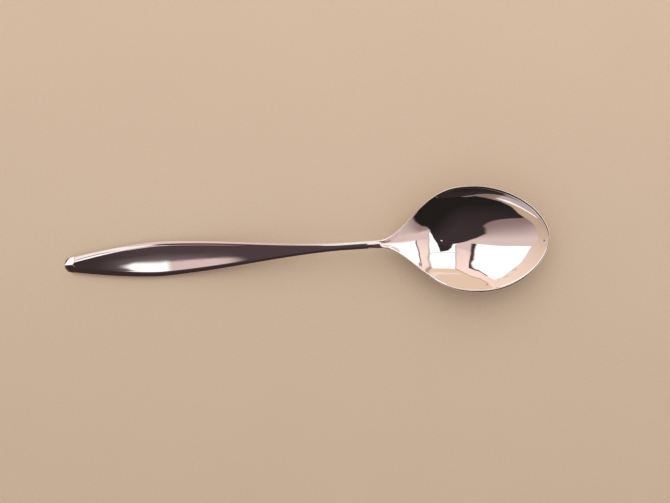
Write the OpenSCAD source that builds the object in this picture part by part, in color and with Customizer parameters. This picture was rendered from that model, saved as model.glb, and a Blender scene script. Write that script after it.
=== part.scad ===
// Teaspoon of bright metal: an egg-shaped bowl on a slender stem that opens into a long leaf with
// a hollowed top panel and a bevelled end. The bowl and the handle meet in a butt joint at the
// neck, centred by a dowel, as on a soldered spoon.
// The spoon lies as on a table: +X points to the bowl's tip, +Z points up, millimetres.

/* [Bowl] */
// Full width of the bowl at its widest place
bowl_width = 33.8; // [26:0.2:44]
// Length of the bowl from its widest place to the tip
tip_reach = 22.7; // [16:0.1:32]
// Length of the shoulders, from the neck to the widest place
shoulder_length = 31.1; // [24:0.1:42]
// Depth of the bowl's inside below its rim
bowl_depth = 7.9; // [5:0.1:12]
// Thickness of the bowl at its lowest place
bowl_wall = 1.2; // [0.8:0.05:2]
// How far the rim's tip lies below the rest of the rim
tip_drop = 0.2; // [0:0.1:2]
// How far the rim dips at the shoulders, below the neck and the widest place
rim_dip = 2.05; // [0:0.05:2.5]
// How far the worn tip is turned to one side
tip_turn = 0.95; // [0:0.05:2]
// How far the bowl's middle sways to each side of the spoon's line
bowl_sway = 0.4; // [0:0.05:1]

/* [Rim] */
// Width of the rim's top, from the outer edge to the inside
rim_land = 0.75; // [0.5:0.05:1.2]
// Height of the rim's upright outer edge
rim_edge = 0.6; // [0.3:0.05:1]
// Height of the slight round over on the rim's top
rim_crown = 0.15; // [0.05:0.05:0.3]

/* [Neck] */
// Width of the neck where the bowl begins
neck_width = 2.7; // [2:0.1:5]
// Thickness of the neck, from top to bottom
neck_thickness = 3.1; // [2.6:0.1:5]
// Length of neck that belongs to the bowl, before its shoulders open
neck_length = 2.7; // [1:0.1:6]
// Height of the neck's underside above the table
neck_clearance = 6; // [4:0.1:12]

/* [Handle] */
// Length of the handle, from its end to the joint at the neck
handle_length = 98.5; // [92:0.5:130]
// Length of the widening leaf, from the handle's end to its widest place
leaf_length = 31; // [20:0.5:36]
// Length over which the leaf narrows into the stem
taper_length = 57; // [40:1:60]
// Full width of the leaf at its widest place
leaf_width = 11.3; // [8:0.1:16]
// Thickness of the leaf under its ridges
leaf_thickness = 2.1; // [1.6:0.1:4]
// Depth of the hollow in the leaf's top panel
panel_hollow = 0.4; // [0.1:0.05:0.8]
// Width of the sloping facets beside the leaf's top panel
side_facet = 1.15; // [0.8:0.05:2]
// Height of the leaf's upright edge
leaf_edge = 0.45; // [0.3:0.05:0.8]
// Full width of the stem at its narrowest
stem_width = 2.4; // [2:0.1:5]

/* [Handle end] */
// Full width of the handle's end
end_width = 3.9; // [3:0.1:6]
// Height of the handle's end
end_height = 1.8; // [1.5:0.1:4]
// Length of the bevel that cuts the handle's end
end_bevel = 2.8; // [1:0.1:4]

/* [Joint] */
// Diameter of the dowel that centres the joint
dowel_diameter = 1.3; // [0.8:0.1:1.6]
// Length of dowel that stands out of the handle's face
dowel_length = 3.4; // [2:0.1:4]
// Room for the solder all round the dowel
solder_gap = 0.05; // [0.02:0.01:0.1]

/* [Hidden] */

// Depth of the small polished flats under the bowl and the leaf, on which the spoon lies
rest_cut = 0.06;
// Smallest half width of the top panel, at the pinched end of the leaf
least_panel = 0.08;
// Width of the stem's rounded shoulders beside its crown, and the height of that crown
stem_facet = 0.7;
stem_crown = 0.12;
// How far the edge lies above the middle of the neck's thickness
neck_edge_lift = 0.6;
// How much the cutters run past what they cut
overrun = 1;

// Roundness of the outline: the tip is a superellipse, and the shoulders are a skewed cosine
tip_power = 1.83;
shoulder_power = 1.42;
// Share of the bowl's length, from its first shoulder, at which its inside is lowest
lowest_share = 0.4;
// Angle of the tip's superellipse at which the outline closes
last_tip_angle = 88.5;
// Rise of the inside back to the neck: shares of the square, the cube and the fourth power
heel_shares = [1.3, 0, -0.3];
// Rise of the inside to the tip: shares of the same three powers, and of a steep lip
tip_shares = [1.65, -0.95, 0.08, 0.22];
tip_lip_power = 10;
// How far along the shoulders the rim's dip is deepest: a lower power moves it to the neck
dip_power = 0.6;
// How full the bowl's cross sections are: these shares of their rise, on the worn side and on the
// other, are a steep curve near the rim
steep_shares = [0, 0.37];
steep_power = 6;
// The shoulders' sections are a V with a foot this round, which opens into the round bowl between
// these shares of the shoulders' length
vee_foot_share = 0.35;
vee_shares = [0.44, 0.91];
// Share of the taper that follows a straight line, the rest a cosine
straight_taper_share = 0.4;
leaf_power = 1.6;
rise_power = 1.5;
// Length of shoulder over which the stem's section turns into the bowl's
blend_length = 7;

// Number of sections and of points across them
shoulder_steps = 22;
tip_steps = 18;
handle_steps = 52;
across_steps = 14;
dowel_facets = 32;

spoon_length = handle_length + neck_length + shoulder_length + tip_reach;
end_x = -spoon_length / 2;
joint_x = end_x + handle_length;
neck_x = joint_x + neck_length;
widest_x = neck_x + shoulder_length;
tip_x = widest_x + tip_reach;
leaf_x = end_x + leaf_length;
lowest_x = neck_x + (tip_x - neck_x) * lowest_share;

rim_z = bowl_wall + bowl_depth;
tip_z = rim_z - tip_drop;
neck_top_z = neck_clearance + neck_thickness;
neck_edge_z = neck_clearance + neck_thickness / 2 + neck_edge_lift;
leaf_edge_z = leaf_thickness / 2;
end_edge_z = end_height / 2;

function mix(a, b, share) = a + (b - a) * share;
function clamp(share) = max(0, min(1, share));
function ease(share) = let(t = clamp(share)) t * t * (3 - 2 * t);
// A cosine that falls from 1 to 0
function fall(share) = (1 + cos(180 * clamp(share))) / 2;

// Rise across a section, from 0 at its middle to 1 at its sides, v being -1 to 1 across it. It is a
// parabola on the handle, a V with a rounded foot on the bowl's shoulders, and then a round trough.
function vee_rise(v) =
    (sqrt(v * v + pow(vee_foot_share, 2)) - vee_foot_share)
    / (sqrt(1 + pow(vee_foot_share, 2)) - vee_foot_share);
function round_rise(v) =
    mix(v * v, pow(v, steep_power), mix(steep_shares[0], steep_shares[1], ease(0.5 + v)));
function across_rise(v, open, widened) =
    mix(v * v, mix(vee_rise(v), round_rise(v), widened), open);

// One cross section, as a ring of points: over the top from side to side, and back underneath.
// The top panel spans half_panel to each side at top_x; the edges stand at edge_x.
function section(top_x, edge_x, side, half_width, half_panel,
                 edge_low, edge_high, ridge_z, mid_z, bottom_z, open = 0, widened = 0) =
    concat(
        [[edge_x, side - half_width, edge_low], [edge_x, side - half_width, edge_high]],
        [for (i = [0 : across_steps])
            let(v = 2 * i / across_steps - 1)
            [top_x, side + half_panel * v, mix(mid_z, ridge_z, across_rise(v, open, widened))]],
        [[edge_x, side + half_width, edge_high], [edge_x, side + half_width, edge_low]],
        [for (i = [1 : across_steps - 1])
            let(v = 1 - 2 * i / across_steps)
            [edge_x, side + half_width * v, mix(bottom_z, edge_low, across_rise(v, open, widened))]]
    );

// A closed solid through a list of sections that have the same number of points
module loft(sections) {
    count = len(sections[0]);
    last = len(sections) - 1;
    polyhedron(
        points = [for (ring = sections) each ring],
        faces = concat(
            [[for (j = [count - 1 : -1 : 0]) j]],
            [for (i = [0 : last - 1]) for (j = [0 : count - 1])
                let(a = i * count + j, b = i * count + (j + 1) % count)
                each [[a, b, a + count], [b, b + count, a + count]]],
            [[for (j = [0 : count - 1]) last * count + j]]
        ),
        convexity = 6
    );
}

// Outline of the bowl and its neck, as [x, half width] from the joint to the tip
function shoulder_half_width(x) =
    mix(neck_width, bowl_width, fall(pow(clamp((widest_x - x) / shoulder_length), shoulder_power))) / 2;
bowl_outline = concat(
    [[joint_x, stem_width / 2]],
    [for (i = [0 : shoulder_steps - 1])
        let(x = mix(neck_x, widest_x, i / shoulder_steps)) [x, shoulder_half_width(x)]],
    [for (i = [0 : tip_steps])
        let(angle = last_tip_angle * i / tip_steps)
        [widest_x + tip_reach * pow(sin(angle), 2 / tip_power),
         bowl_width / 2 * pow(cos(angle), 2 / tip_power)]]
);

// Direction in which the rim runs at a point of the outline
function rim_run(i) =
    let(a = bowl_outline[max(0, i - 1)], b = bowl_outline[min(len(bowl_outline) - 1, i + 1)], d = b - a)
    d / norm(d);

// Sideways place of the bowl's middle: a slight wave, and a turn that grows towards the tip
function lean(x) =
    let(t = clamp((x - neck_x) / (tip_x - neck_x)))
    bowl_sway * sin(360 * t) - tip_turn * pow(t, 3);

// How far the rim's shape has taken over from the stem's, and the round trough from the V
function opened(x) = ease((x - joint_x) / (neck_length + blend_length));
function widened(x) =
    ease(((x - neck_x) / shoulder_length - vee_shares[0]) / (vee_shares[1] - vee_shares[0]));

// Height of the rim: it dips at the shoulders, and falls a little towards the tip
function rim_height(x) =
    let(dip = pow(sin(180 * pow(clamp((x - neck_x) / shoulder_length), dip_power)), 2))
    rim_z - rim_dip * dip - tip_drop * pow(clamp((x - widest_x) / tip_reach), 2);

// Rise from the lowest place of the bowl back to the neck, from 0 to 1
function heel_rise(t) = t * t * (heel_shares[0] + t * (heel_shares[1] + t * heel_shares[2]));
// Rise from the lowest place to the tip, from 0 to 1
function tip_rise(t) =
    t * t * (tip_shares[0] + t * (tip_shares[1] + t * tip_shares[2]))
    + tip_shares[3] * pow(t, tip_lip_power);

function bowl_floor(x, low, neck, tip, reach) =
    x < lowest_x
        ? mix(low, neck, heel_rise(min(1, (lowest_x - x) / (lowest_x - neck_x))))
        : mix(low, tip, tip_rise(min(1, (x - lowest_x) / reach)));

module bowl_shell() {
    loft([for (i = [0 : len(bowl_outline) - 1])
        let(
            x = bowl_outline[i][0],
            half_width = bowl_outline[i][1],
            run = rim_run(i),
            open = opened(x),
            land = mix(stem_facet, rim_land, open),
            half_panel = max(least_panel, half_width - land * run[0]),
            rim = rim_height(x),
            inside_x = x - land * max(0, -run[1])
        )
        section(
            top_x = inside_x,
            edge_x = x,
            side = lean(x),
            half_width = half_width,
            half_panel = half_panel,
            edge_low = mix(neck_edge_z - leaf_edge / 2, rim - rim_crown - rim_edge, open),
            edge_high = mix(neck_edge_z + leaf_edge / 2, rim - rim_crown, open),
            ridge_z = mix(neck_top_z - stem_crown, rim, open),
            mid_z = bowl_floor(inside_x, bowl_wall, neck_top_z, tip_z, tip_x - rim_land - lowest_x),
            bottom_z = bowl_floor(x, -rest_cut, neck_clearance, tip_z - rim_crown - rim_edge,
                                  tip_x - lowest_x),
            open = open,
            widened = widened(x)
        )
    ]);
}

// Half width of the handle: the leaf opens quickly, narrows steadily, and the stem stays slender
function handle_half_width(x) =
    x < leaf_x
        ? mix(leaf_width, end_width, pow((leaf_x - x) / leaf_length, leaf_power)) / 2
        : let(t = clamp((x - leaf_x) / taper_length))
          mix(stem_width, leaf_width, mix(fall(t), 1 - t, straight_taper_share)) / 2;

// How far the leaf has turned into the stem, and how far the end has opened into the leaf
function slender(x) = ease((x - leaf_x) / taper_length);
function spread(x) = ease((x - end_x) / leaf_length);

// Share of the way up from the leaf, which lies flat, to the neck
function stem_lift(x) = pow(sin(90 * clamp((x - leaf_x) / (joint_x - leaf_x))), rise_power);

function facet_width(x) =
    mix(mix(end_width / 2 - least_panel, side_facet, spread(x)), stem_facet, slender(x));

module handle_blank() {
    loft([for (i = [0 : handle_steps])
        let(
            x = mix(end_x, joint_x, i / handle_steps),
            half_width = handle_half_width(x),
            lift = stem_lift(x),
            edge_z = mix(mix(end_edge_z, leaf_edge_z, spread(x)), neck_edge_z, lift),
            leaf_top = mix(end_height, leaf_thickness, spread(x)),
            ridge = mix(leaf_top, neck_top_z - stem_crown, lift),
            hollow = mix(panel_hollow * spread(x), -stem_crown, slender(x))
        )
        section(
            top_x = x,
            edge_x = x,
            side = 0,
            half_width = half_width,
            half_panel = max(least_panel, half_width - facet_width(x)),
            edge_low = edge_z - leaf_edge / 2,
            edge_high = edge_z + leaf_edge / 2,
            ridge_z = ridge,
            mid_z = ridge - hollow,
            bottom_z = mix(-rest_cut, neck_clearance, lift)
        )
    ]);
}

// Everything below the table, to take the round undersides down to their small flats
module below_table() {
    translate([end_x - overrun, -bowl_width, -overrun])
        cube([spoon_length + 2 * overrun, 2 * bowl_width, overrun]);
}

// What the bevel takes off the handle's end: a block whose lower face leans back over the end
module bevel_cutter() {
    translate([end_x, 0, 0])
        rotate([0, -atan(end_height / end_bevel), 0])
            translate([-leaf_length / 2, -end_width, 0])
                cube([leaf_length, 2 * end_width, leaf_length / 2]);
}

// The dowel in the middle of the neck, from inside the handle; gap widens it into its bore
module dowel(gap) {
    translate([joint_x - overrun, 0, neck_clearance + neck_thickness / 2])
        rotate([0, 90, 0])
            cylinder(d = dowel_diameter + 2 * gap, h = overrun + dowel_length + gap, $fn = dowel_facets);
}

module bowl() {
    color([0.80, 0.78, 0.76])
        difference() {
            bowl_shell();
            below_table();
            dowel(solder_gap);
        }
}

module handle() {
    color([0.72, 0.69, 0.68])
        union() {
            difference() {
                handle_blank();
                below_table();
                bevel_cutter();
            }
            dowel(0);
        }
}

bowl();
handle();
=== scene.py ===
import math

import bpy
import numpy as np
from mathutils import Matrix, Vector


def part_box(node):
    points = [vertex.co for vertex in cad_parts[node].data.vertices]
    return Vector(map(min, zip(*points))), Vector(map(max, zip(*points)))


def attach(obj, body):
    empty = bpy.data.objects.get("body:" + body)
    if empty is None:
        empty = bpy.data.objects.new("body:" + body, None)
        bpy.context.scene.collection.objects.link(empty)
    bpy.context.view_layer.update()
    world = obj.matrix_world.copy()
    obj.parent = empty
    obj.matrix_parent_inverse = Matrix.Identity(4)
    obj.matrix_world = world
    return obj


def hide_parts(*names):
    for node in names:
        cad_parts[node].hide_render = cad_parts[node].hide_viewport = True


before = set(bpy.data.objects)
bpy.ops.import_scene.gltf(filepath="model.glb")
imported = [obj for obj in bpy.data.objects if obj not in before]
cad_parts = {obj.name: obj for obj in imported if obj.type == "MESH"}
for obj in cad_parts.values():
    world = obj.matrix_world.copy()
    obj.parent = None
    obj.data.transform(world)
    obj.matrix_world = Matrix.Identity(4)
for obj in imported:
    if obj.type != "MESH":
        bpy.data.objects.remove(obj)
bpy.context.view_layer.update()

# The spoon lies along X with its bowl's tip at +X, on the plane z = 0. Sizes are millimetres
# until a mesh is made, where mm turns them into metres.
mm = 0.001
photoSize = (670, 503)  # pixels
bowlBox = [np.array(corner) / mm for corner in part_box("bowl")]
handleBox = [np.array(corner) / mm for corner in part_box("handle")]


# Small shape helpers, all on whole arrays

def mix(a, b, share):
    return a + (b - a) * share


def clamp(share):
    return np.clip(share, 0.0, 1.0)


def ease(share):
    # the smooth step 3t^2 - 2t^3
    t = clamp(share)
    return t * t * (3 - 2 * t)


def fall(share):
    # a half cosine that falls from 1 to 0
    return (1 + np.cos(np.pi * clamp(share))) / 2


def softMin(a, b, width):
    # the lower of a and b, rounded over where they come within width of each other
    h = clamp(0.5 + (b - a) / (2 * width))
    return mix(b, a, h) - width * h * (1 - h)


def part(value, start, full):
    # how far value is on its way from start to full, on whichever side of start that lies
    return (value - start) / (full - start)


def ramp(value, start, full):
    # eased from 0 at start to 1 at full
    return ease(part(value, start, full))


def span(value, edges):
    # edges are where it starts, is full, begins to fade and is gone
    start, full, fading, gone = edges
    return ramp(value, start, full) * ramp(value, gone, fading)


def makeObject(name, points, faces):
    # the points are in millimetres
    mesh = bpy.data.meshes.new(name)
    mesh.from_pydata((points * mm).tolist(), [], faces)
    mesh.update()
    piece = bpy.data.objects.new(name, mesh)
    bpy.context.collection.objects.link(piece)
    return piece


creaseAngle = 55.0  # degrees; edges that turn less are shaded smooth


def closedSkin(name, rings):
    # a skin over rings of points, rings x around x 3, with a fan that closes each end
    ringCount, around, _ = rings.shape
    points = np.vstack([rings.reshape(-1, 3), rings[0].mean(0), rings[-1].mean(0)])
    loop = np.arange(around)
    nextLoop = (loop + 1) % around
    start = np.arange(ringCount - 1)[:, None] * around
    a, b = start + loop, start + nextLoop
    quads = np.stack([a, b, b + around, a + around], axis=-1).reshape(-1, 4)
    faces = [tuple(q) for q in quads.tolist()]
    first, last = len(points) - 2, len(points) - 1
    base = (ringCount - 1) * around
    faces += [(first, int(n), int(c)) for c, n in zip(loop, nextLoop)]
    faces += [(last, int(base + c), int(base + n)) for c, n in zip(loop, nextLoop)]
    piece = makeObject(name, points, faces)
    piece.data.shade_smooth()
    piece.data.set_sharp_from_angle(angle=math.radians(creaseAngle))
    return piece


# The spoon's outline and heights, shared by its two pieces

spoon = dict(
    jointX=handleBox[1][0] - 3.4,  # the dowel stands this far out of the handle's face
    endX=handleBox[0][0],
    tipX=bowlBox[1][0],
    rimZ=9.1,
    neckLength=2.7,
    neckWidth=2.7,
    neckThickness=3.1,
    neckUnder=6.0,
    neckEdgeLift=0.6,
    stemWidth=2.4,
    stemFacet=0.7,
    stemCrown=0.12,
    edgeHeight=0.45,
)
neckX = spoon["jointX"] + spoon["neckLength"]
neckTop = spoon["neckUnder"] + spoon["neckThickness"]
neckEdge = spoon["neckUnder"] + spoon["neckThickness"] / 2 + spoon["neckEdgeLift"]


# Bowl: a floor curve along the middle, and rounded cross sections up to the rim

bowlShape = dict(
    width=33.8,
    tipReach=22.7,
    shoulderLength=31.1,
    tipPower=1.83,
    shoulderPower=1.42,
    wall=1.2,
    rimDip=2.05,
    dipPower=0.6,
    tipDrop=0.2,
    sway=0.4,
    tipTurn=0.95,
    rimLand=0.75,
    rimEdge=0.6,
    rimCrown=0.15,
    rimRoundness=5.0,
    rimCrest=0.12,
    crestReach=1.5,
    blendLength=7.0,
    lowestShare=0.40,
    heel=(1.3, 0.0, -0.3),
    toe=(1.65, -0.95, 0.08, 0.22),
    steepShares=(0.0, 0.37),  # how much of the rise is the steep part near the rim, on each side
    veeFoot=0.35,
    veeShares=(0.44, 0.91),  # where along the shoulders the V opens into a round bowl
    leastHalf=0.02,
    fineCount=4000,  # points from which the outline's even ones are read off
    aroundCount=420,
    facePoints=11,
    innerRings=90,
    rimRings=20,
    outerRings=60,
)
widestX = neckX + bowlShape["shoulderLength"]
lowestX = neckX + (spoon["tipX"] - neckX) * bowlShape["lowestShare"]


def halfWidth(x):
    # superellipse from the widest place to the tip, skewed half cosine from there to the neck
    s = bowlShape
    ahead = clamp((x - widestX) / s["tipReach"])
    behind = clamp((widestX - x) / s["shoulderLength"])
    tip = s["width"] / 2 * (1 - ahead ** s["tipPower"]) ** (1 / s["tipPower"])
    shoulder = mix(spoon["neckWidth"], s["width"], fall(behind ** s["shoulderPower"])) / 2
    neck = mix(spoon["stemWidth"], spoon["neckWidth"], ease((x - spoon["jointX"]) / spoon["neckLength"])) / 2
    return np.where(x > widestX, tip, np.where(x > neckX, shoulder, neck))


def lean(x):
    # sideways place of the bowl's middle: a slight wave, and a turn that grows towards the tip
    t = clamp((x - neckX) / (spoon["tipX"] - neckX))
    return bowlShape["sway"] * np.sin(2 * np.pi * t) - bowlShape["tipTurn"] * t ** 3


def opened(x):
    return ease((x - spoon["jointX"]) / (spoon["neckLength"] + bowlShape["blendLength"]))


def rimHeight(x):
    along = clamp((x - neckX) / bowlShape["shoulderLength"])
    rim = (spoon["rimZ"] - bowlShape["rimDip"] * np.sin(np.pi * along ** bowlShape["dipPower"]) ** 2
           - bowlShape["tipDrop"] * clamp((x - widestX) / bowlShape["tipReach"]) ** 2)
    return mix(neckTop - spoon["stemCrown"], rim, opened(x))


def floorHeight(x, low, neck, tip, tipPlace):
    # from the lowest place the floor rises as t^2, t^3, t^4 to the neck, and with a lip of t^10 to the tip
    s = bowlShape
    back = clamp((lowestX - x) / (lowestX - neckX))
    ahead = clamp((x - lowestX) / (tipPlace - lowestX))
    heel = back ** 2 * (s["heel"][0] + back * (s["heel"][1] + back * s["heel"][2]))
    toe = ahead ** 2 * (s["toe"][0] + ahead * (s["toe"][1] + ahead * s["toe"][2])) + s["toe"][3] * ahead ** 10
    return low + np.where(x < lowestX, (neck - low) * heel, (tip - low) * toe)


def acrossRise(v, x):
    # Share of the way from the floor to the rim at v of the half width. Where the bowl is wide it is
    # v^2 mixed with v^6. On the shoulders it is a V with a rounded foot, and on the stem v^2.
    s = bowlShape
    v = np.clip(v, -1.0, 1.0)
    steep = mix(*s["steepShares"], ease(0.5 + v))
    roundRise = mix(v ** 2, v ** 6, steep)
    foot = s["veeFoot"]
    veeRise = (np.sqrt(v ** 2 + foot ** 2) - foot) / (math.sqrt(1 + foot ** 2) - foot)
    along = (x - neckX) / s["shoulderLength"]
    widened = ease((along - s["veeShares"][0]) / (s["veeShares"][1] - s["veeShares"][0]))
    return mix(v ** 2, mix(veeRise, roundRise, widened), opened(x))


def makeBowl():
    s = bowlShape
    # outline from one corner of the joint's face, round the tip and back, then across the face
    angle = np.linspace(0, np.pi / 2, s["fineCount"])
    tipSide = np.stack([widestX + (spoon["tipX"] - widestX) * np.sin(angle) ** (2 / s["tipPower"]),
                        s["width"] / 2 * np.cos(angle) ** (2 / s["tipPower"])], 1)
    shoulderX = np.linspace(spoon["jointX"], widestX, s["fineCount"])
    side = np.vstack([np.stack([shoulderX, halfWidth(shoulderX)], 1)[:-1], tipSide])
    length = np.concatenate([[0], np.cumsum(np.hypot(*np.diff(side, axis=0).T))])
    half = (s["aroundCount"] - s["facePoints"] + 1) // 2
    at = np.linspace(0, length[-1], half + 1)
    sx, sy = np.interp(at, length, side[:, 0]), np.interp(at, length, side[:, 1])
    sy[-1] = 0.0
    run = np.gradient(np.stack([sx, sy], 1), axis=0)
    run[-1] = (0, -1)
    run /= np.linalg.norm(run, axis=1, keepdims=True)
    land = mix(spoon["stemFacet"], s["rimLand"], opened(sx))
    ix = sx - land * np.maximum(0, -run[:, 1])
    iy = np.maximum(0.0, sy - land * run[:, 0])
    iy[-1] = 0.0
    # the side at +y, the side at -y backwards, and the face from -y to +y
    face = np.linspace(-1, 1, s["facePoints"] + 1)[1:-1]
    ox = np.concatenate([sx, sx[-2::-1], np.full(len(face), sx[0])])
    oy = np.concatenate([sy, -sy[-2::-1], face * sy[0]])
    inX = np.concatenate([ix, ix[-2::-1], np.full(len(face), sx[0])])
    inY = np.concatenate([iy, -iy[-2::-1], face * iy[0]])

    def innerHalf(x):
        return np.maximum(np.interp(x, ix, iy), s["leastHalf"])

    def innerZ(x, y):
        floor = floorHeight(x, s["wall"], neckTop, spoon["rimZ"] - s["tipDrop"],
                            spoon["tipX"] - s["rimLand"])
        return mix(floor, rimHeight(x), acrossRise(y / innerHalf(x), x))

    def edgeLow(x):
        return mix(neckEdge - spoon["edgeHeight"] / 2, rimHeight(x) - s["rimCrown"] - s["rimEdge"], opened(x))

    def outerZ(x, y):
        floor = floorHeight(x, 0.0, spoon["neckUnder"],
                            spoon["rimZ"] - s["tipDrop"] - s["rimCrown"] - s["rimEdge"], spoon["tipX"])
        return mix(floor, edgeLow(x), acrossRise(y / np.maximum(halfWidth(x), s["leastHalf"]), x))

    rings = []
    for r in np.linspace(0, 1, s["innerRings"] + 1)[1:]:
        x, y = lowestX + r * (inX - lowestX), r * inY
        rings.append(np.stack([x, y, innerZ(x, y)], 1))
    # rim: a quarter superellipse from the inner edge over to the foot of the outer edge
    top, low = rings[-1][:, 2], edgeLow(ox)
    for q in np.linspace(0, np.pi / 2, s["rimRings"] + 1)[1:]:
        out = np.sin(q) ** (2 / s["rimRoundness"])
        up = np.cos(q) ** (2 / s["rimRoundness"])
        crest = s["rimCrest"] * np.sin(np.pi * out / s["crestReach"]) * up * opened(ox)
        rings.append(np.stack([mix(inX, ox, out), mix(inY, oy, out), mix(low, top, up) + crest], 1))
    faceIndex = np.arange(len(sx) * 2 - 1, len(ox))
    rings[-1][faceIndex, 2] = outerZ(ox[faceIndex], oy[faceIndex])
    for r in np.linspace(1, 0, s["outerRings"] + 1)[1:-1]:
        x, y = lowestX + r * (ox - lowestX), r * oy
        rings.append(np.stack([x, y, outerZ(x, y)], 1))
    grid = np.array(rings)
    grid[:, :, 1] += lean(grid[:, :, 0])
    grid[:, :, 2] = np.maximum(grid[:, :, 2], 0.0)
    return closedSkin("spoonBowl", grid)


# Handle: cross sections carried along X, rounded at their ridges and cut by the end's bevel

handleShape = dict(
    leafLength=31.0,
    taperLength=57.0,
    leafWidth=11.3,
    leafThickness=2.1,
    panelHollow=0.4,
    sideFacet=1.15,
    facetBulge=0.035,
    endWidth=3.9,
    endHeight=1.8,
    endBevel=2.8,
    bevelRoof=0.45,  # how steeply the bevel falls to each side of its middle
    bevelFlat=0.1,
    bevelReach=2.2,  # in heights of the end, how far up the bevel's plane it can still cut
    leastPanel=0.08,
    leastGap=0.01,  # keeps a division from running to zero
    leafPower=1.6,
    straightTaper=0.4,
    risePower=1.5,
    bevelRound=0.12,
    ridgeRound=2,  # passes of smoothing round each section
    panelPoints=40,
    facetPoints=12,
    edgePoints=6,
    underPoints=44,
    stations=460,
    crowding=(2.2, 0.75),  # stations crowd towards the end by this power, for this share
)


def handleHalf(x):
    h = handleShape
    leafX = spoon["endX"] + h["leafLength"]
    opening = clamp((leafX - x) / h["leafLength"])
    leaf = mix(h["leafWidth"], h["endWidth"], opening ** h["leafPower"]) / 2
    t = clamp((x - leafX) / h["taperLength"])
    taper = mix(spoon["stemWidth"], h["leafWidth"], mix(fall(t), 1 - t, h["straightTaper"])) / 2
    return np.where(x < leafX, leaf, taper)


def makeHandle():
    h = handleShape
    t = np.linspace(0, 1, h["stations"])
    crowdPower, crowdShare = h["crowding"]
    x = mix(spoon["endX"], spoon["jointX"], mix(t, t ** crowdPower, crowdShare))[:, None]
    leafX = spoon["endX"] + h["leafLength"]
    half = handleHalf(x)
    slender = ease((x - leafX) / h["taperLength"])
    spread = ease((x - spoon["endX"]) / h["leafLength"])
    lift = np.sin(np.pi / 2 * clamp((x - leafX) / (spoon["jointX"] - leafX))) ** h["risePower"]
    edge = mix(mix(h["endHeight"] / 2, h["leafThickness"] / 2, spread), neckEdge, lift)
    ridge = mix(mix(h["endHeight"], h["leafThickness"], spread), neckTop - spoon["stemCrown"], lift)
    hollow = mix(h["panelHollow"] * spread, -spoon["stemCrown"], slender)
    facet = mix(mix(h["endWidth"] / 2 - h["leastPanel"], h["sideFacet"], spread), spoon["stemFacet"], slender)
    panel = np.maximum(h["leastPanel"], half - facet)
    under = mix(0.0, spoon["neckUnder"], lift)
    low, high = edge - spoon["edgeHeight"] / 2, edge + spoon["edgeHeight"] / 2
    # the bevel is a low roof, a slope along X with a ridge in its middle, and it narrows the sections
    # where their underside would lie above it
    plane = (x - spoon["endX"]) * h["endHeight"] / h["endBevel"]
    reach = np.sqrt(clamp(np.maximum(plane, 0) / np.maximum(low - under, h["leastGap"])))

    def topHeight(y):
        onPanel = ridge - hollow * (1 - (np.minimum(y, panel) / panel) ** 2)
        inward = clamp((half - y) / np.maximum(half - panel, h["leastGap"]))
        onFacet = mix(high, ridge, inward) + 4 * h["facetBulge"] * inward * (1 - inward)
        return np.where(y < panel, onPanel, onFacet)

    def spaced(count):
        return np.linspace(0, 1, count, endpoint=False)[None, :]

    # half a top, from the middle out: panel, facet; then the edge; then half an underside
    panelY = panel * spaced(h["panelPoints"] // 2)
    facetY = panel + (half - panel) * spaced(h["facetPoints"])
    edgeY = half * np.ones((1, h["edgePoints"]))
    underY = half * (1 - spaced(h["underPoints"] // 2))
    topZ = topHeight(np.hstack([panelY, facetY]))
    edgeZ = mix(high, low, spaced(h["edgePoints"]))
    underZ = under + (low - under) * (underY / half) ** 2
    y = np.hstack([panelY, facetY, edgeY, underY])
    z = np.hstack([topZ, edgeZ, underZ])
    fullY = np.hstack([y, np.zeros_like(ridge), -y[:, :0:-1]])
    fullZ = np.hstack([z, under, z[:, :0:-1]])
    for _ in range(h["ridgeRound"]):
        fullY = (np.roll(fullY, 1, 1) + 2 * fullY + np.roll(fullY, -1, 1)) / 4
        fullZ = (np.roll(fullZ, 1, 1) + 2 * fullZ + np.roll(fullZ, -1, 1)) / 4
    fullY = fullY * np.minimum(reach, 1.0)
    roof = plane - h["bevelRoof"] * (np.abs(fullY) - h["bevelFlat"])
    fullZ = np.where(plane < h["endHeight"] * h["bevelReach"], softMin(fullZ, roof, h["bevelRound"]), fullZ)
    fullZ = np.maximum(fullZ, 0.0)
    grid = np.stack([x + 0 * fullY, fullY, fullZ], 2)
    return closedSkin("spoonHandle", grid[::-1])


bowl = makeBowl()
handle = makeHandle()
for piece, node, slot in ((bowl, "bowl", "bowl_metal"), (handle, "handle", "handle_metal")):
    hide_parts(node)
    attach(piece, "root")
print("spoon meshes made")


# Metal: mirror polish with the marks of use. One group finds the marks, and both materials use it.

def addNode(tree, kind, **settings):
    node = tree.nodes.new(kind)
    for name, value in settings.items():
        setattr(node, name, value)
    return node


def mathNode(tree, operation, *values):
    node = addNode(tree, "ShaderNodeMath", operation=operation)
    for socket, value in zip(node.inputs, values):
        if isinstance(value, (int, float)):
            socket.default_value = value
        else:
            tree.links.new(value, socket)
    return node.outputs["Value"]


def noiseNode(tree, vector, scale, detail, distortion=0.0):
    node = addNode(tree, "ShaderNodeTexNoise")
    tree.links.new(vector, node.inputs["Vector"])
    node.inputs["Scale"].default_value = scale
    node.inputs["Detail"].default_value = detail
    node.inputs["Distortion"].default_value = distortion
    return node.outputs["Fac"]


def between(tree, value, low, high):
    # 0 at low, 1 at high, eased
    node = addNode(tree, "ShaderNodeMapRange", interpolation_type="SMOOTHSTEP")
    tree.links.new(value, node.inputs["Value"])
    node.inputs["From Min"].default_value = low
    node.inputs["From Max"].default_value = high
    return node.outputs["Result"]


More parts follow.
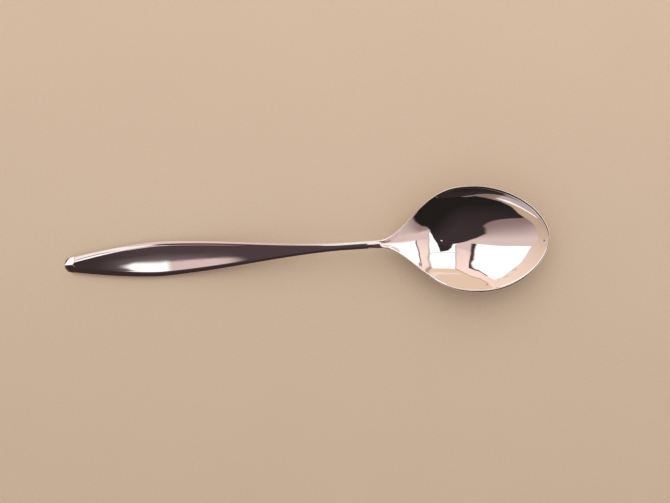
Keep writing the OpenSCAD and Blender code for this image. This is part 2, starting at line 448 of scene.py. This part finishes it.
marks = dict(
    smudgeScale=110.0,
    smudgeLevels=(0.48, 0.68),
    # for each direction its angle, how long the hairs are, and the level above which they show
    hairs=((4, 26.0, 0.66), (-28, 18.0, 0.69), (71, 18.0, 0.70)),
    hairScale=2600.0,
    hairSoftness=0.05,
    pitScale=330.0,
    pitRarity=0.93,
    pitSize=(0.085, 0.03),
    waveScale=130.0,
    heights=(8.0, 0.25, 6.0),  # of the waves, and how deep hairs and pits cut into them
    stainScale=1500.0,
    stainDepth=0.8,
    nickColor=(0.22, 0.16, 0.14),
    nickRoughness=0.3,
    smudgeDullness=0.30,
    scratchDullness=0.30,
)


def makeWearGroup():
    # Smudges of old polish, hairline scratches in three directions, rare pits, and a faint waviness
    group = bpy.data.node_groups.new("polishWear", "ShaderNodeTree")
    group.interface.new_socket("Vector", in_out="INPUT", socket_type="NodeSocketVector")
    for name in ("Smudges", "Scratches", "Pits", "Height"):
        group.interface.new_socket(name, in_out="OUTPUT", socket_type="NodeSocketFloat")
    start, end = group.nodes.new("NodeGroupInput"), group.nodes.new("NodeGroupOutput")
    place = start.outputs["Vector"]
    clouds = noiseNode(group, place, marks["smudgeScale"], 5.0, 0.6)
    smudges = between(group, clouds, *marks["smudgeLevels"])
    scratches = None
    for angle, stretch, level in marks["hairs"]:
        turned = addNode(group, "ShaderNodeMapping", vector_type="TEXTURE")
        group.links.new(place, turned.inputs["Vector"])
        turned.inputs["Rotation"].default_value = (0, 0, math.radians(angle))
        turned.inputs["Scale"].default_value = (stretch, 1, 1)
        noise = noiseNode(group, turned.outputs["Vector"], marks["hairScale"], 2.0)
        hairs = between(group, noise, level, level + marks["hairSoftness"])
        scratches = hairs if scratches is None else mathNode(group, "MAXIMUM", scratches, hairs)
    cells = addNode(group, "ShaderNodeTexVoronoi")
    group.links.new(place, cells.inputs["Vector"])
    cells.inputs["Scale"].default_value = marks["pitScale"]
    parts = addNode(group, "ShaderNodeSeparateColor")
    group.links.new(cells.outputs["Color"], parts.inputs["Color"])
    rare = mathNode(group, "GREATER_THAN", parts.outputs["Red"], marks["pitRarity"])
    pits = mathNode(group, "MULTIPLY", rare, between(group, cells.outputs["Distance"], *marks["pitSize"]))
    waves = noiseNode(group, place, marks["waveScale"], 2.0)
    waveHeight, hairDepth, pitDepth = marks["heights"]
    cuts = mathNode(group, "MULTIPLY_ADD", scratches, hairDepth, mathNode(group, "MULTIPLY", pits, pitDepth))
    height = mathNode(group, "SUBTRACT", mathNode(group, "MULTIPLY", waves, waveHeight), cuts)
    for name, value in (("Smudges", smudges), ("Scratches", scratches), ("Pits", pits), ("Height", height)):
        group.links.new(value, end.inputs[name])
    return group


def makeSpotGroup():
    # a small blurred spot round a place, in metres
    group = bpy.data.node_groups.new("roundSpot", "ShaderNodeTree")
    for name, kind in (("Vector", "Vector"), ("Place", "Vector"), ("Radius", "Float")):
        group.interface.new_socket(name, in_out="INPUT", socket_type="NodeSocket" + kind)
    group.interface.new_socket("Mask", in_out="OUTPUT", socket_type="NodeSocketFloat")
    start, end = group.nodes.new("NodeGroupInput"), group.nodes.new("NodeGroupOutput")
    far = addNode(group, "ShaderNodeVectorMath", operation="DISTANCE")
    group.links.new(start.outputs["Vector"], far.inputs[0])
    group.links.new(start.outputs["Place"], far.inputs[1])
    share = mathNode(group, "DIVIDE", far.outputs["Value"], start.outputs["Radius"])
    group.links.new(between(group, share, 1.0, 0.5), end.inputs["Mask"])
    return group


wearGroup, spotGroup = makeWearGroup(), makeSpotGroup()

bowlMetal = dict(
    bright=(0.875, 0.845, 0.825),
    worn=(0.800, 0.745, 0.715),
    smoothness=(0.028, 0.085),  # roughness of clean and of smudged metal
    waviness=2.2e-7,  # metres
    # old stains along the front of the toe and a nick at the tip, as place in millimetres and radius
    stains=(((66.0, -10.8, 7.15), 0.55), ((65.2, -11.0, 7.1), 0.4), ((63.2, -12.6, 7.4), 0.6),
            ((62.3, -13.0, 7.4), 0.5), ((60.4, -13.7, 7.45), 0.45), ((56.6, -15.0, 7.9), 0.55)),
    nicks=(((75.6, -2.3, 8.2), 0.38),),
)
handleMetal = dict(
    bright=(0.860, 0.830, 0.815),
    worn=(0.790, 0.735, 0.710),
    smoothness=(0.035, 0.10),
    waviness=1.2e-7,
    stains=(((-31.5, 1.2, 3.2), 0.5),),
    nicks=(((-20.6, -1.1, 5.4), 0.16),),
)


def polishedMetal(name, look):
    material = bpy.data.materials.new(name)
    material.use_nodes = True
    tree = material.node_tree
    shader = tree.nodes["Principled BSDF"]
    shader.inputs["Metallic"].default_value = 1.0
    place = addNode(tree, "ShaderNodeTexCoord").outputs["Object"]
    wear = addNode(tree, "ShaderNodeGroup", node_tree=wearGroup)
    tree.links.new(place, wear.inputs["Vector"])

    def spots(places):
        total = None
        for (x, y, z), radius in places:
            spot = addNode(tree, "ShaderNodeGroup", node_tree=spotGroup)
            tree.links.new(place, spot.inputs["Vector"])
            spot.inputs["Place"].default_value = (x * mm, y * mm, z * mm)
            spot.inputs["Radius"].default_value = radius * mm
            mask = spot.outputs["Mask"]
            total = mask if total is None else mathNode(tree, "MAXIMUM", total, mask)
        return total

    def blend(factor, a, color):
        # color laid over a, which is a colour or a socket
        node = addNode(tree, "ShaderNodeMix", data_type="RGBA")
        tree.links.new(factor, node.inputs["Factor"])
        if isinstance(a, tuple):
            node.inputs["A"].default_value = (*a, 1)
        else:
            tree.links.new(a, node.inputs["A"])
        node.inputs["B"].default_value = (*color, 1)
        return node.outputs["Result"]

    blotches = noiseNode(tree, place, marks["stainScale"], 2.0)
    stains = mathNode(tree, "MULTIPLY", spots(look["stains"]), blotches)
    nicks = mathNode(tree, "MAXIMUM", spots(look["nicks"]), wear.outputs["Pits"])
    nicks = mathNode(tree, "MAXIMUM", nicks, mathNode(tree, "MULTIPLY", stains, marks["stainDepth"]))
    dull = mathNode(tree, "MULTIPLY", wear.outputs["Scratches"], marks["scratchDullness"])
    dull = mathNode(tree, "MULTIPLY_ADD", wear.outputs["Smudges"], marks["smudgeDullness"], dull)
    tone = blend(dull, look["bright"], look["worn"])
    tree.links.new(blend(nicks, tone, marks["nickColor"]), shader.inputs["Base Color"])
    clean, smudged = look["smoothness"]
    rough = mathNode(tree, "MULTIPLY_ADD", dull, smudged - clean, clean)
    rough = mathNode(tree, "MULTIPLY_ADD", nicks, marks["nickRoughness"], rough)
    tree.links.new(rough, shader.inputs["Roughness"])
    bump = addNode(tree, "ShaderNodeBump")
    bump.inputs["Distance"].default_value = look["waviness"]
    tree.links.new(wear.outputs["Height"], bump.inputs["Height"])
    tree.links.new(bump.outputs["Normal"], shader.inputs["Normal"])
    return material


bowl.data.materials.append(polishedMetal("bowlPolish", bowlMetal))
handle.data.materials.append(polishedMetal("handlePolish", handleMetal))
print("metal done")


# Camera: straight above, turned so that the spoon lies as in the photograph

view = dict(
    turn=-3.8,  # degrees about Z
    elevation=89.6,
    distance=620.0,
    target=(9.3, -1.35, 5.0),
    pixelSize=0.3181,  # mm a pixel at the target
    sensor=36.0,
    clipStart=0.01,  # metres
)
turn, rise = math.radians(view["turn"]), math.radians(view["elevation"])
right = np.array([math.cos(turn), math.sin(turn), 0.0])
towards = np.array([math.sin(turn) * math.cos(rise), -math.cos(turn) * math.cos(rise), math.sin(rise)])
up = np.cross(towards, right)
place = np.array(view["target"]) + towards * view["distance"]
cameraData = bpy.data.cameras.new("camera")
camera = bpy.data.objects.new("camera", cameraData)
bpy.context.collection.objects.link(camera)
camera.matrix_world = Matrix([[right[0], up[0], towards[0], place[0] * mm],
                              [right[1], up[1], towards[1], place[1] * mm],
                              [right[2], up[2], towards[2], place[2] * mm],
                              [0, 0, 0, 1]])
cameraData.sensor_fit = "HORIZONTAL"
cameraData.sensor_width = view["sensor"]
cameraData.lens = view["sensor"] * view["distance"] / (view["pixelSize"] * photoSize[0])
cameraData.clip_start = view["clipStart"]
bpy.context.scene.camera = camera


# Surroundings: a floor of tan paper, and a glowing dome, no lamp, that only the mirror-bright metal
# shows: painted reflections of a light tent, as colours painted on its points. Its figures are drawn
# with corners as directions from the bowl, in degrees: how far from straight up, and the way round
# from the back of the picture towards its right.

def stagePiece(name, points, faces, material, seenByCamera=False):
    piece = makeObject(name, points, faces)
    piece.data.materials.append(material)
    if not seenByCamera:
        # only mirror reflections show it, so it neither lights nor shades the floor
        piece.visible_camera = piece.visible_diffuse = piece.visible_shadow = False
    return piece


def paintedLight(name):
    # glows with the colours painted on the mesh
    material = bpy.data.materials.new(name)
    material.use_nodes = True
    nodes, links = material.node_tree.nodes, material.node_tree.links
    nodes.remove(nodes["Principled BSDF"])
    paint = nodes.new("ShaderNodeAttribute")
    paint.attribute_name = "paint"
    glow = nodes.new("ShaderNodeEmission")
    links.new(paint.outputs["Color"], glow.inputs["Color"])
    links.new(glow.outputs["Emission"], nodes["Material Output"].inputs["Surface"])
    return material


def paintedReflectionSheet(name, cloth, points, colors):
    # a glowing sheet over points in rows and columns, with a painted reflection colour at each point
    rows, columns, _ = points.shape
    a = (np.arange(rows - 1)[:, None] * columns + np.arange(columns - 1)[None, :]).ravel()
    faces = [tuple(q) for q in np.stack([a, a + 1, a + columns + 1, a + columns], 1).tolist()]
    piece = stagePiece(name, points.reshape(-1, 3), faces, paintedLight(cloth))
    layer = piece.data.color_attributes.new("paint", "FLOAT_COLOR", "POINT")
    opaque = np.ones((rows, columns))
    layer.data.foreach_set("color", np.dstack([colors, opaque]).astype(np.float32).ravel())


def overlay(colors, mask, color):
    # lays a colour, or one for each point, over what is painted, as far as the mask says
    colors[:] = mix(colors, np.asarray(color), mask[..., None])


tent = dict(
    middle=(44.0, 0.0, 5.0),
    radius=600.0,
    lowest=97.0,  # degrees from straight up at the dome's foot
    rows=195,
    columns=721,
    wall=(0.80, 0.61, 0.58),
    # ways and leans in degrees, as where a change starts and where it is full
    litWay=35,
    litAside=(65, 45),
    litLean=(18, 26),
    lit=((0.88, 0.68, 0.63), (1.13, 0.86, 0.76)),
    litRise=(28, 68),
    litTurn=(20, -40),
    leftDim=(-85, -133),
    leftTone=(0.30, 0.20, 0.19),
    rightDim=(132, 124),  # where it starts, high up and low down
    rightDimLean=(52, 64),
    rightSoft=11,
    rightTone=(0.34, 0.25, 0.23),
    footLean=(38, 41),
    footLeft=(-3, -9),
    footRight=(139, 143),
    foot=((1.06, 0.81, 0.68), (0.60, 0.43, 0.31)),
    footFall=(-15, -115),
    footFront=(145, 175),
    footFrontTone=(0.27, 0.20, 0.16),
    footCorner=(138, 144, 155, 175),
    footCornerTone=(0.38, 0.29, 0.24),
    card=(1.25, 1.20, 1.18),
    cardFront=(0.48, 0.41, 0.40),
    cardRim=(1.2, 1.15, 1.15),
    cardCorner=(0.55, 0.46, 0.47),
    paper=(0.90, 0.66, 0.49),
    paperEdge=(1.02, 0.82, 0.72),
    white=(1.35, 1.33, 1.31),
    bar=(0.06, 0.035, 0.04),
    frame=(0.08, 0.05, 0.05),
    frameFoot=(0.30, 0.20, 0.17),
    leftHem=(0.52, 0.45, 0.43),
    rightHem=(0.60, 0.50, 0.47),
    fold=(0.45, 0.31, 0.25),
    seam=(0.60, 0.57, 0.57),
    dark=((0.050, 0.034, 0.038), (0.018, 0.015, 0.014)),
    darkFall=(15, 55),
    glint=(1.1, 1.1, 1.1),
)
tentLean, tentWay = np.meshgrid(np.linspace(0, tent["lowest"], tent["rows"]),
                                np.linspace(-180, 180, tent["columns"]), indexing="ij")


def onMap(lean, way):
    # the sky as a round map: straight up in its middle, the back of the picture at its top
    return lean * np.sin(np.radians(way)), lean * np.cos(np.radians(way))


tentMap = onMap(tentLean, tentWay)


def awayFromEdges(corners, closed):
    # distance of each place on the map to the nearest edge between the corners
    spots = [np.array(onMap(*corner)) for corner in corners]
    nearest = np.full(tentLean.shape, np.inf)
    for a, b in zip(spots, spots[1:] + spots[:1] if closed else spots[1:]):
        run = b - a
        x, y = tentMap[0] - a[0], tentMap[1] - a[1]
        t = clamp((x * run[0] + y * run[1]) / (run @ run))
        nearest = np.minimum(nearest, np.hypot(x - t * run[0], y - t * run[1]))
    return nearest


def figure(corners, soft=1.0):
    # 1 inside the figure and 0 outside, blurred over soft degrees at its edges
    spots = [onMap(*corner) for corner in corners]
    inside = np.zeros(tentLean.shape, bool)
    for a, b in zip(spots, spots[1:] + spots[:1]):
        crosses = (a[1] > tentMap[1]) != (b[1] > tentMap[1])
        inside ^= crosses & (tentMap[0] < a[0] + (b[0] - a[0]) * (tentMap[1] - a[1]) / (b[1] - a[1] + 1e-9))
    far = awayFromEdges(corners, True)
    return ease(0.5 + np.where(inside, far, -far) / soft)


def line(corners, width):
    # 1 out to 0.3 of the half width of a line through the corners, eased to 0 at 1.3 of it
    return ease(1.3 - awayFromEdges(corners, False) / (width / 2))


tentColors = np.zeros(tentLean.shape + (3,))


def paint(mask, color):
    overlay(tentColors, mask, color)


def shade(tones, share):
    # a colour for each direction, between two tones
    return mix(np.array(tones[0]), np.array(tones[1]), clamp(share)[..., None])


# painted reflection of walls of thin pink cloth, with painted light, bright towards the back, and painted
# shade, darker beside the dark front
paint(np.ones(tentLean.shape), tent["wall"])
paint(ramp(np.abs(tentWay - tent["litWay"]), *tent["litAside"]) * ramp(tentLean, *tent["litLean"]),
      shade(tent["lit"], part(tentLean, *tent["litRise"]) + clamp(part(tentWay, *tent["litTurn"]))))
# painted shade on the walls towards the front, at the left and at the right
paint(ramp(tentWay, *tent["leftDim"]), tent["leftTone"])
dimFrom = mix(*tent["rightDim"], ramp(tentLean, *tent["rightDimLean"]))
paint(ease((tentWay - dimFrom) / tent["rightSoft"]), tent["rightTone"])
# painted reflection of the tent's foot, warmer, with painted light at the left and painted shade towards the
# front
foot = np.maximum(ramp(tentWay, *tent["footLeft"]), ramp(tentWay, *tent["footRight"]))
foot = foot * ramp(tentLean, *tent["footLean"])
paint(foot, shade(tent["foot"], part(tentWay, *tent["footFall"])))
paint(foot * ramp(np.abs(tentWay), *tent["footFront"]), tent["footFrontTone"])
paint(foot * span(tentWay, tent["footCorner"]), tent["footCornerTone"])
# painted reflection of a bright card low at the left, with painted shade that turns it grey towards the front
paint(figure([(74, -50), (74, -92), (97, -92), (97, -50)], 4.0), tent["card"])
paint(figure([(74, -92), (74, -135), (97, -135), (97, -92)], 4.0), tent["cardFront"])
paint(line([(74, -164), (68, -158), (65, -152), (64, -146), (70, -134)], 7.0), tent["cardRim"])
paint(figure([(74, -166), (74, -140), (97, -138), (97, -166)], 3.0), tent["cardCorner"])
# painted reflection of the tan paper, which sweeps up at the back
paint(figure([(97, 34.5), (80, 34), (77, 33), (75, 32), (73.5, 30.8), (71, 26), (67, 21), (61, 12), (63, 7),
              (66, 0), (69, -4), (80, -6), (97, -8), (97, 13)]), tent["paper"])
paint(line([(74.5, 29.5), (74, 27), (72, 21), (68, 13), (67, 9)], 1.5), tent["paperEdge"])
# painted reflections of white panels, the left in the bowl's toe and the right in its heel, each with a dark
# edge
barEdge = [(17, -64), (22, -39), (32, -22), (41, -14), (47, -9), (52, -7), (55, -6.3)]
barBack = [(15, -61), (21, -35), (31, -20), (41, -11.5), (47, -7), (52, -4), (55, -3)]
paint(figure(barEdge + [(60, -8), (64, -10), (59, -18), (53, -25), (48, -34), (41, -45), (36, -62), (28, -62),
                        (22, -65)]), tent["white"])
paint(figure(barBack + barEdge[::-1], 0.8), tent["bar"])
paint(line([(53, -5), (56, -6), (60, -8)], 1.7), tent["bar"])
frameLine = [(45, 87), (62, 44), (70, 38), (73, 37), (76, 35.3)]
paint(figure(frameLine + [(97, 38), (97, 50), (86, 49), (77, 48), (73, 49), (68, 54), (61, 64), (55, 73),
                          (50, 80)], 0.8), tent["white"])
paint(line(frameLine, 1.5), tent["frame"])
paint(line([(76, 35.3), (77.5, 36.6)], 0.9), tent["frameFoot"])
# painted reflection of the bright opening in the tent's top, with its hems and a seam
leftHem = [(47, 133), (35, 117), (30, 79), (41, 48), (53, 37), (62, 33), (70, 32), (73, 30.3)]
rightHem = [(62, 13), (49, 10), (32, 4), (13, -13)]
paint(figure(leftHem + [(72, 28), (69, 24), (67, 21)] + rightHem + [(8, -60), (10, 180)]), tent["white"])
paint(line(leftHem, 1.5), tent["leftHem"])
paint(line(rightHem, 1.2), tent["rightHem"])
paint(line([(62, 13), (63, 7), (66, 0), (69, -4)], 1.2), tent["fold"])
paint(line([(80, 34.3), (76, 32.8), (73, 30.3)], 1.2), tent["fold"])
paint(line([(61, 32), (54, 29), (37, 12), (32, 3)], 0.9), tent["seam"])
# painted reflection of the tent's dark front, which reaches in over its top
darkFront = [(80, 132.3), (75, 134.2), (71, 135.9), (66, 137.4), (60, 138.3), (51, 137.5), (33, 125),
             (22, 73), (27, 44), (41, 28), (48, 26), (35, 14), (24, 7), (13, -3), (11, -67), (16, -99),
             (20, -112), (22, -125), (23, -132), (26, -135), (32, -136), (39, -135), (42, -143), (55, -154),
             (64, -162), (73, -172), (80, 180), (84, 171), (87, 159), (87, 152), (85, 147), (90, 141),
             (90, 131)]
paint(figure(darkFront, 0.8), shade(tent["dark"], part(tentLean, *tent["darkFall"])))
# a painted glint
paint(line([(13, 58), (13, 68)], 2.6), tent["glint"])

backWay = np.array([-math.sin(turn), math.cos(turn), 0.0])
rightWay = np.array([math.cos(turn), math.sin(turn), 0.0])
leanAngle, wayAngle = np.radians(tentLean)[..., None], np.radians(tentWay)[..., None]
domePoints = (np.sin(leanAngle) * (np.cos(wayAngle) * backWay + np.sin(wayAngle) * rightWay)
              + np.cos(leanAngle) * np.array([0, 0, 1.0]))
paintedReflectionSheet("lightTent", "tentPaintedReflection", np.array(tent["middle"]) + tent["radius"] * domePoints, tentColors)

# a narrow glowing flag hangs low over the handle and shows in its hollow panel as a painted reflection:
# dark, with a painted white highlight over the leaf and a painted pink reflection from there to the stem
flag = dict(
    height=18.0,
    along=(-80.0, 32.0),
    alongCount=449,
    acrossCount=161,
    halfWidth=12.0,
    dark=(0.083, 0.054, 0.060),
    tipDark=(0.050, 0.034, 0.035),
    # along X and Y, where a tone starts and is full, and of four values also where it fades and is gone
    tipX=(-50.0, -75.0),
    pink=(0.78, 0.60, 0.56),
    pinkX=(-48.2, -46.6, -32.0, -22.0),
    pinkY=(0.35, 0.65, 1.80, 2.20),
    halo=(0.100, 0.082, 0.084),
    haloX=(-70.0, -54.0, -48.0, -26.0),
    haloY=(-0.45, 0.35, 1.25, 1.45),
    white=(1.30, 1.28, 1.26),
    whiteX=(-63.0, -57.0),
    whiteFoot=(-46.5, -48.1),
    whiteLow=(0.20, 0.45),  # its front edge, over the leaf and towards the tip
    whiteLowX=(-55.5, -60.5),
    whiteHigh=(1.60, 1.25),  # and its back edge
    whiteHighX=(-55.0, -60.0),
    whiteSoft=(0.42, 0.25),
    whitePowers=(1.5, 1.3),  # of the fades along and across
    pale=(1.25, 1.18, 1.15),
    paleX=(-47.0, -53.0),
    paleY=(5.5, 6.5),
    neck=(1.10, 0.98, 0.93),
    neckX=(19.0, 20.5),
    neckLow=(1.0, -3.0),
    neckLowX=(25.5, 27.0),
    neckSoft=0.6,
)
flagAcross = np.linspace(-1, 1, flag["acrossCount"]) ** 3 * flag["halfWidth"]
flagX, flagY = np.meshgrid(np.linspace(*flag["along"], flag["alongCount"]), flagAcross, indexing="ij")
flagColors = np.ones(flagX.shape + (3,)) * flag["dark"]
overlay(flagColors, ramp(flagX, *flag["tipX"]), flag["tipDark"])
pinkMask = span(flagX, flag["pinkX"]) * span(flagY, flag["pinkY"])
overlay(flagColors, pinkMask, flag["pink"])
# a faint painted glow round the painted highlight, which fades in slowly from the tip and from its front edge
haloMask = span(flagX, flag["haloX"]) * span(flagY, flag["haloY"]) * (1 - pinkMask)
flagColors += haloMask[..., None] * flag["halo"]
# the painted white highlight, with soft front and back edges
whiteLow = mix(*flag["whiteLow"], ramp(flagX, *flag["whiteLowX"]))
whiteHigh = mix(*flag["whiteHigh"], ramp(flagX, *flag["whiteHighX"]))
alongPower, acrossPower = flag["whitePowers"]
paintedHighlightMask = (ease((flagY - whiteLow) / flag["whiteSoft"][0]) ** acrossPower
             * ease((whiteHigh - flagY) / flag["whiteSoft"][1])
             * ramp(flagX, *flag["whiteX"]) ** alongPower * ramp(flagX, *flag["whiteFoot"]))
overlay(flagColors, paintedHighlightMask, flag["white"])
# painted reflections: pale along its back edge over the leaf, and beyond the stem, where it shows on the neck
overlay(flagColors, ramp(flagX, *flag["paleX"]) * ramp(flagY, *flag["paleY"]), flag["pale"])
neckLow = mix(*flag["neckLow"], ramp(flagX, *flag["neckLowX"]))
overlay(flagColors, ramp(flagX, *flag["neckX"]) * ease((flagY - neckLow) / flag["neckSoft"]), flag["neck"])
paintedReflectionSheet("flag", "flagPaintedReflection", np.stack([flagX, flagY, 0 * flagX + flag["height"]], 2), flagColors)

# a dark glowing strip stands in front of the handle and shows as a painted dark reflection in its front
# facets; it is higher at the tip
skirt = dict(
    placeY=-16.0,
    low=0.5,
    along=(-115.0, -56.0, -50.0, 20.0),
    high=(32.0, 32.0, 17.0, 17.0),
    tone=(0.045, 0.028, 0.026),
)
skirtPoints = np.array([[(x, skirt["placeY"], skirt["low"]) for x in skirt["along"]],
                        [(x, skirt["placeY"], z) for x, z in zip(skirt["along"], skirt["high"])]])
paintedReflectionSheet("skirt", "skirtPaintedReflection", skirtPoints, np.ones_like(skirtPoints) * skirt["tone"])

# a glowing strip stands behind the handle and shows in its back facets, with stripes of painted reflection
# and painted highlight. Its top follows their rise along the stem, and its stripes lie at heights above them.
rail = dict(
    placeY=16.0,
    low=0.5,
    along=(-94.0, 27.0),
    topX=(-60.0, -50.0, 5.0, 12.0),
    tops=(26.0, 30.0, 30.0, 14.0),
    leafX=-46.5,
    stemX=21.0,
    rise=6.9,
    risePower=1.5,
    facetZ=2.0,
    alongCount=243,
    upCount=161,
    # where near the tip the facets' outer edges and their ridges look
    tipX=(-84.0, -79.0, -71.0, -63.0, -56.0),
    tipOuter=(13.0, 9.0, 5.0, 2.0, 0.0),
    tipRidge=(21.0, 20.5, 15.0, 13.0, 13.0),
    toneX=(-70.0, -54.0, -38.0, -5.0, 12.0),
    tones=((0.80, 0.66, 0.62), (0.86, 0.69, 0.61), (0.87, 0.70, 0.59), (0.75, 0.60, 0.52),
           (1.05, 0.96, 0.90)),
    upper=(5.0, (1.15, 1.02, 0.97)),  # from which height up, and in which tone
    # stripes of painted reflection and painted highlight near the tip, as shares of the way from the outer
    # edge to the ridge
    tipFade=(-58.0, -66.0),
    tipSoft=0.05,
    tipStripes=((-math.inf, 0.12, (0.85, 0.70, 0.62)), (0.12, 0.24, (0.24, 0.18, 0.18)),
                (0.24, 0.66, (1.12, 0.98, 0.94)), (0.66, 0.80, (0.34, 0.27, 0.28)),
                (0.80, math.inf, (1.25, 1.18, 1.15))),
    middleX=(-53.0, -47.0, 2.0, 6.0),
    middle=(4.5, (0.09, 0.06, 0.07)),
    soft=0.6,
)
railX, railUp = np.meshgrid(np.linspace(*rail["along"], rail["alongCount"]),
                            np.linspace(0, 1, rail["upCount"]), indexing="ij")
railWay = clamp(part(railX, rail["leafX"], rail["stemX"]))
railFoot = rail["facetZ"] + rail["rise"] * np.sin(np.pi / 2 * railWay) ** rail["risePower"]
railZ = mix(rail["low"], railFoot + np.interp(railX, rail["topX"], rail["tops"]), railUp)
railHigh = railZ - railFoot
railColors = np.stack([np.interp(railX, rail["toneX"], channel) for channel in zip(*rail["tones"])], 2)


def band(value, low, high, soft):
    # 1 from low to high, eased over soft at each of them
    return ease((value - low) / soft + 0.5) * ease((high - value) / soft + 0.5)


upperLow, upperTone = rail["upper"]
overlay(railColors, band(railHigh, upperLow, math.inf, rail["soft"]), upperTone)
tipOuter = np.interp(railX, rail["tipX"], rail["tipOuter"])
tipShare = part(railHigh, tipOuter, np.interp(railX, rail["tipX"], rail["tipRidge"]))
atTip = ramp(railX, *rail["tipFade"])
for low, high, tone in rail["tipStripes"]:
    overlay(railColors, atTip * band(tipShare, low, high, rail["tipSoft"]), tone)
middleLow, middleTone = rail["middle"]
atMiddle = span(railX, rail["middleX"])
overlay(railColors, atMiddle * band(railHigh, middleLow, math.inf, rail["soft"]), middleTone)
paintedReflectionSheet("rail", "railPaintedReflection", np.stack([railX, 0 * railX + rail["placeY"], railZ], 2), railColors)


# Floor: tan paper with a fine speckle

paper = dict(
    halfSize=900.0,
    roughness=0.9,
    gloss=0.2,
    speckleScale=1400.0,
    cloudScale=25.0,
    cloudShare=0.35,
    grainLevels=(0.25, 1.10),
    grainShare=0.42,
    # painted light falloff: where it runs and how strong it is
    paintedFalloffY=(-0.13, 0.13),  # metres
    paintedFalloffShare=0.58,
    tones=((0.560, 0.424, 0.312), (0.680, 0.512, 0.378)),
    bumpStrength=0.25,
    bumpDepth=0.0001,  # metres
)


def paperMaterial():
    material = bpy.data.materials.new("tanPaper")
    material.use_nodes = True
    tree = material.node_tree
    shader = tree.nodes["Principled BSDF"]
    shader.inputs["Roughness"].default_value = paper["roughness"]
    shader.inputs["Specular IOR Level"].default_value = paper["gloss"]
    place = addNode(tree, "ShaderNodeTexCoord").outputs["Object"]
    speckle = noiseNode(tree, place, paper["speckleScale"], 3.0)
    cloud = noiseNode(tree, place, paper["cloudScale"], 4.0)
    grain = mathNode(tree, "MULTIPLY_ADD", cloud, paper["cloudShare"], speckle)
    grain = mathNode(tree, "MULTIPLY", between(tree, grain, *paper["grainLevels"]), paper["grainShare"])
    # painted light: the sheet is painted a little lighter towards the back, a falloff of the light
    parts = addNode(tree, "ShaderNodeSeparateXYZ")
    tree.links.new(place, parts.inputs["Vector"])
    paintedFalloff = between(tree, parts.outputs["Y"], *paper["paintedFalloffY"])
    tone = addNode(tree, "ShaderNodeMix", data_type="RGBA")
    light = mathNode(tree, "MULTIPLY_ADD", paintedFalloff, paper["paintedFalloffShare"], grain)
    tree.links.new(light, tone.inputs["Factor"])
    for socket, color in zip("AB", paper["tones"]):
        tone.inputs[socket].default_value = (*color, 1)
    tree.links.new(tone.outputs["Result"], shader.inputs["Base Color"])
    bump = addNode(tree, "ShaderNodeBump")
    bump.inputs["Strength"].default_value = paper["bumpStrength"]
    bump.inputs["Distance"].default_value = paper["bumpDepth"]
    tree.links.new(speckle, bump.inputs["Height"])
    tree.links.new(bump.outputs["Normal"], shader.inputs["Normal"])
    return material


floorCorners = np.array([(-1, -1, 0), (1, -1, 0), (1, 1, 0), (-1, 1, 0)])
stagePiece("floor", floorCorners * paper["halfSize"], [(0, 1, 2, 3)], paperMaterial(), True)


# Light: a soft lamp behind the spoon on the right, which throws its shadow to the front, and a plain world

lamp = dict(place=(100.0, 420.0, 430.0), size=900.0, power=2.5)
lampData = bpy.data.lights.new("softLamp", "AREA")
lampData.shape = "SQUARE"
lampData.size = lamp["size"] * mm
lampData.energy = lamp["power"]
lampPiece = bpy.data.objects.new("softLamp", lampData)
bpy.context.collection.objects.link(lampPiece)
lampPiece.location = [c * mm for c in lamp["place"]]
lampPiece.rotation_euler = (-Vector(lampPiece.location)).to_track_quat("-Z", "Y").to_euler()
lampPiece.visible_glossy = False  # the metal shows the tent instead
worldLight = dict(color=(0.70, 0.686, 0.672), strength=1.0)
world = bpy.data.worlds.new("world")
bpy.context.scene.world = world
world.use_nodes = True
background = world.node_tree.nodes["Background"]
background.inputs["Color"].default_value = (*worldLight["color"], 1)
background.inputs["Strength"].default_value = worldLight["strength"]
bpy.context.scene.view_settings.view_transform = "Standard"
print("stage done")
